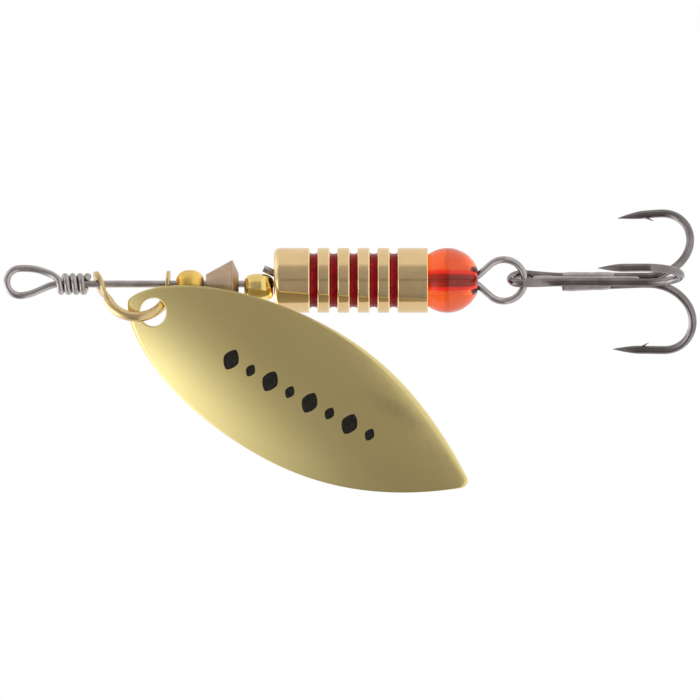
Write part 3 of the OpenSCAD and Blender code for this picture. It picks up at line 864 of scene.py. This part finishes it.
def make_double_hook():
    centre = np.array([0, 0, HOOK_EYE_Z])
    eye = [centre + HOOK_EYE_R * (math.cos(a) * HOOK_EYE_SIDE + math.sin(a) * np.array(Z_AXIS))
           for a in np.radians(np.linspace(-12, 192, 18))]
    shank_a = [np.array([*HOOK_A["top"], z]) for z in SHANK_LEVELS[::-1]]
    shank_b = [np.array([*HOOK_B["top"], z]) for z in SHANK_LEVELS]
    side = NECK_SHARE * HOOK_EYE_R * HOOK_EYE_SIDE
    up_a = hook_path(HOOK_A)[::-1] + shank_a + [NECK_A + side]
    down_b = [NECK_B - side] + shank_b + hook_path(HOOK_B)
    path = curve(up_a + eye + down_b, WIRE_STEP)
    near_eye = np.clip((path[:, 2] - SWELL_FROM) / SWELL_OVER, 0, 1)
    radii = point_radii(path, True, True) + HOOK_EYE_SWELL * near_eye ** 2 * (3 - 2 * near_eye)
    mesh = tube("double", path, radii, up=(0.5, -0.8, 0), sides=28, bevel=0.005)
    meshes = [in_treble(m) for m in (mesh, barb(HOOK_A), barb(HOOK_B))]
    piece = add_object("double_hook_forged", meshes, black_nickel)
    finish_piece(piece, "treble", "hook_steel", "double_hook")


def shank_c(z):
    """The point of the single hook's shank at height z of the treble's frame."""
    top, low = np.array(HOOK_C["top"]), np.array(HOOK_C["low"])
    share = (z - SINGLE_TOP) / (SINGLE_LOW - SINGLE_TOP)
    return np.array([*(top + (low - top) * share), z])


def make_single_hook():
    shank = [shank_c(z) for z in np.linspace(SINGLE_TOP, SINGLE_LOW, 5)]
    path = curve(shank + hook_path(HOOK_C), WIRE_STEP)
    radii = point_radii(path, False, True)
    mesh = tube("single", path, radii, up=(0.5, 0.8, 0), sides=28, bevel=0.03)
    meshes = [in_treble(mesh), in_treble(barb(HOOK_C))]
    piece = add_object("single_hook_forged", meshes, black_nickel)
    finish_piece(piece, "treble", "hook_steel", "single_hook")


def flowed(name, start, end, size):
    """A run of braze between two points of the treble, with tapering ends and an uneven girth."""
    share = np.linspace(0, 1, 60)
    path = np.array(start) + share[:, None] * (np.array(end) - np.array(start))
    swell = np.minimum(1, np.minimum(share, 1 - share) / 0.15) ** 0.5
    z = path[:, 2]
    radii = size * (0.84 + 0.16 * swell) + 0.008 * np.sin(z * 2.7) + 0.005 * np.sin(z * 6.1)
    return in_treble(tube(name, path, radii, sides=40, bevel=0.05))


def make_braze():
    """Braze drawn in between the shanks, and wetted over the two that lie behind."""
    core = flowed("core", (*BRAZE_CORE_AT, BRAZE_TOP), (*BRAZE_CORE_AT, BRAZE_LOW), BRAZE_CORE_R)
    top_a, low_a = (*HOOK_A["top"], BRAZE_A_TOP), (*HOOK_A["low"], BRAZE_A_LOW)
    over_a = flowed("over_a", top_a, low_a, HOOK_R + BRAZE_SKIN)
    top_c, low_c = shank_c(SINGLE_TOP + 0.02), shank_c(BRAZE_C_LOW)
    over_c = flowed("over_c", top_c, low_c, HOOK_R + BRAZE_SKIN)
    piece = add_object("braze_flowed", [core, over_a, over_c], braze_metal)
    finish_piece(piece, "treble", "braze", "braze_joint")


# ---------------------------------------------------------------- studio

FRAME_WIDTH = 0.056          # width of the view at the shaft, in metres
LENS, SENSOR = 800.0, 36.0
VIEW_CENTRE = Vector((-0.00528, 0, -0.02629))
FLOOR_GAP, FLOOR_HALF = 0.02, 0.5
LIGHT_FROM = Vector((-0.05, -0.515, -0.857))
LIGHT_DISTANCE, LIGHT_SIZE, LIGHT_WATTS = 0.5, 0.09, 0.5

# The world's light by direction. Round the shaft, degrees run from -180 at the back past 0 in
# front to 180, with +X at 90; along it, the direction's own Z, with the line eye at 1.
AROUND = [(-180, 0.85), (-84, 0.76), (-80, 0.21), (-60, 0.25), (-40, 0.30), (-20, 0.335),
          (0, 0.34), (30, 0.37), (45, 0.41), (52, 0.50), (60, 0.76), (130, 0.82), (180, 0.85)]
GLOW = [(0, 0), (0.25, 0), (0.4, 0.07), (0.5, 0.2), (0.6, 0.4), (0.7, 0.74), (0.76, 1.05),
        (0.82, 1.4), (1, 1.15)]
GLOW_TINT = (0.97, 1.07, 1.11)
GLOW_FADES = (-55, 25, 1.35, 0.3)   # between these degrees, from and to these factors
# a narrow dark card in front, which the turned pieces show as a line
CARD_ROUND = [(-180, 0), (-4, 0), (-1, 1), (4, 1), (7, 0), (180, 0)]
CARD_ALONG = [(0, 1), (0.03, 1), (0.07, 0), (1, 0)]
CARD_LEVEL = -0.12


def make_camera():
    """Looks along +Y at the blade's side, with the line eye to the left and +X up."""
    data = bpy.data.cameras.new("camera")
    data.lens, data.sensor_width = LENS, SENSOR
    distance = FRAME_WIDTH * LENS / SENSOR
    data.clip_start, data.clip_end = distance / 100, distance * 10
    camera = bpy.data.objects.new("camera", data)
    right, up, back = Vector((0, 0, -1)), Vector((1, 0, 0)), Vector((0, -1, 0))
    camera.matrix_world = Matrix.Translation(VIEW_CENTRE + back * distance) @ Matrix(
        (right, up, back)).transposed().to_4x4()
    bpy.context.scene.collection.objects.link(camera)
    bpy.context.scene.camera = camera


def make_world():
    """A soft studio: pale above and below, dimmer in front, and brightest off the line eye's
    end. The camera itself sees plain white."""
    world = bpy.data.worlds.new("studio")
    world.use_nodes = True
    tree = world.node_tree
    tree.nodes.clear()
    direction = add(tree, "ShaderNodeTexCoord").outputs["Generated"]
    x, y, z = add(tree, "ShaderNodeSeparateXYZ", {"Vector": direction}).outputs
    angle = math_node(tree, "ARCTAN2", x, math_node(tree, "MULTIPLY", y, -1.0))
    turns = {"Value": angle, "From Min": -math.pi, "From Max": math.pi}
    share = add(tree, "ShaderNodeMapRange", turns).outputs["Result"]
    low, high, strong, weak = GLOW_FADES
    fading = remap(tree, angle, math.radians(low), math.radians(high), strong, weak)
    glow = math_node(tree, "MULTIPLY", levels(tree, z, GLOW, 0, 1), fading)
    along = levels(tree, math_node(tree, "ABSOLUTE", z), CARD_ALONG, 0, 1)
    card = math_node(tree, "MULTIPLY", levels(tree, share, CARD_ROUND, -180, 180), along)
    around = levels(tree, share, AROUND, -180, 180)
    plain = math_node(tree, "MULTIPLY_ADD", card, CARD_LEVEL, around)
    total = add(tree, "ShaderNodeVectorMath", {0: glow, 1: GLOW_TINT, 2: plain},
                operation="MULTIPLY_ADD").outputs[0]
    seen = add(tree, "ShaderNodeLightPath").outputs["Is Camera Ray"]
    light = add(tree, "ShaderNodeMix", {0: seen, 6: total, 7: (1, 1, 1, 1)}, data_type="RGBA")
    background = add(tree, "ShaderNodeBackground", {"Color": light.outputs[2], "Strength": 1.0})
    output = add(tree, "ShaderNodeOutputWorld")
    tree.links.new(background.outputs[0], output.inputs["Surface"])
    bpy.context.scene.world = world


def make_light():
    """A soft square light on the blade's side, beyond the hooks."""
    data = bpy.data.lights.new("side", "AREA")
    data.size, data.energy = LIGHT_SIZE, LIGHT_WATTS
    light = bpy.data.objects.new("side", data)
    away = LIGHT_FROM.normalized()
    light.location = VIEW_CENTRE + away * LIGHT_DISTANCE
    light.rotation_mode = "QUATERNION"
    light.rotation_quaternion = away.to_track_quat("Z", "Y")
    bpy.context.scene.collection.objects.link(light)


def make_floor():
    level = cad_low.z - FLOOR_GAP
    mesh = bpy.data.meshes.new("floor")
    corners = [(x * FLOOR_HALF, y * FLOOR_HALF, level)
               for x, y in ((-1, -1), (1, -1), (1, 1), (-1, 1))]
    mesh.from_pydata(corners, [], [(0, 1, 2, 3)])
    mesh.materials.append(floor_material())
    floor = bpy.data.objects.new("floor", mesh)
    bpy.context.scene.collection.objects.link(floor)


make_camera()
make_world()
make_light()
make_floor()

make_shaft()
make_clevis()
make_blade()
make_marks()
# bore radius, fullness and stretch along the wire
make_bead("front_bead", "front_bead", "bead_brass", satin_gold, 0.36, 2.35, 1.03)
make_bead("rear_bead", "rear_bead", "bead_brass", gold, 0.62, 2.6, 1.14)
make_cone()
make_body()
for ring_name in RINGS:
    make_enamel(ring_name)
make_bead("tail_bead", "tail_bead", "red_bead", red_plastic, 0.86, 2.0, steps=96)
make_double_hook()
make_single_hook()
make_braze()

bpy.context.scene.view_settings.view_transform = "Standard"
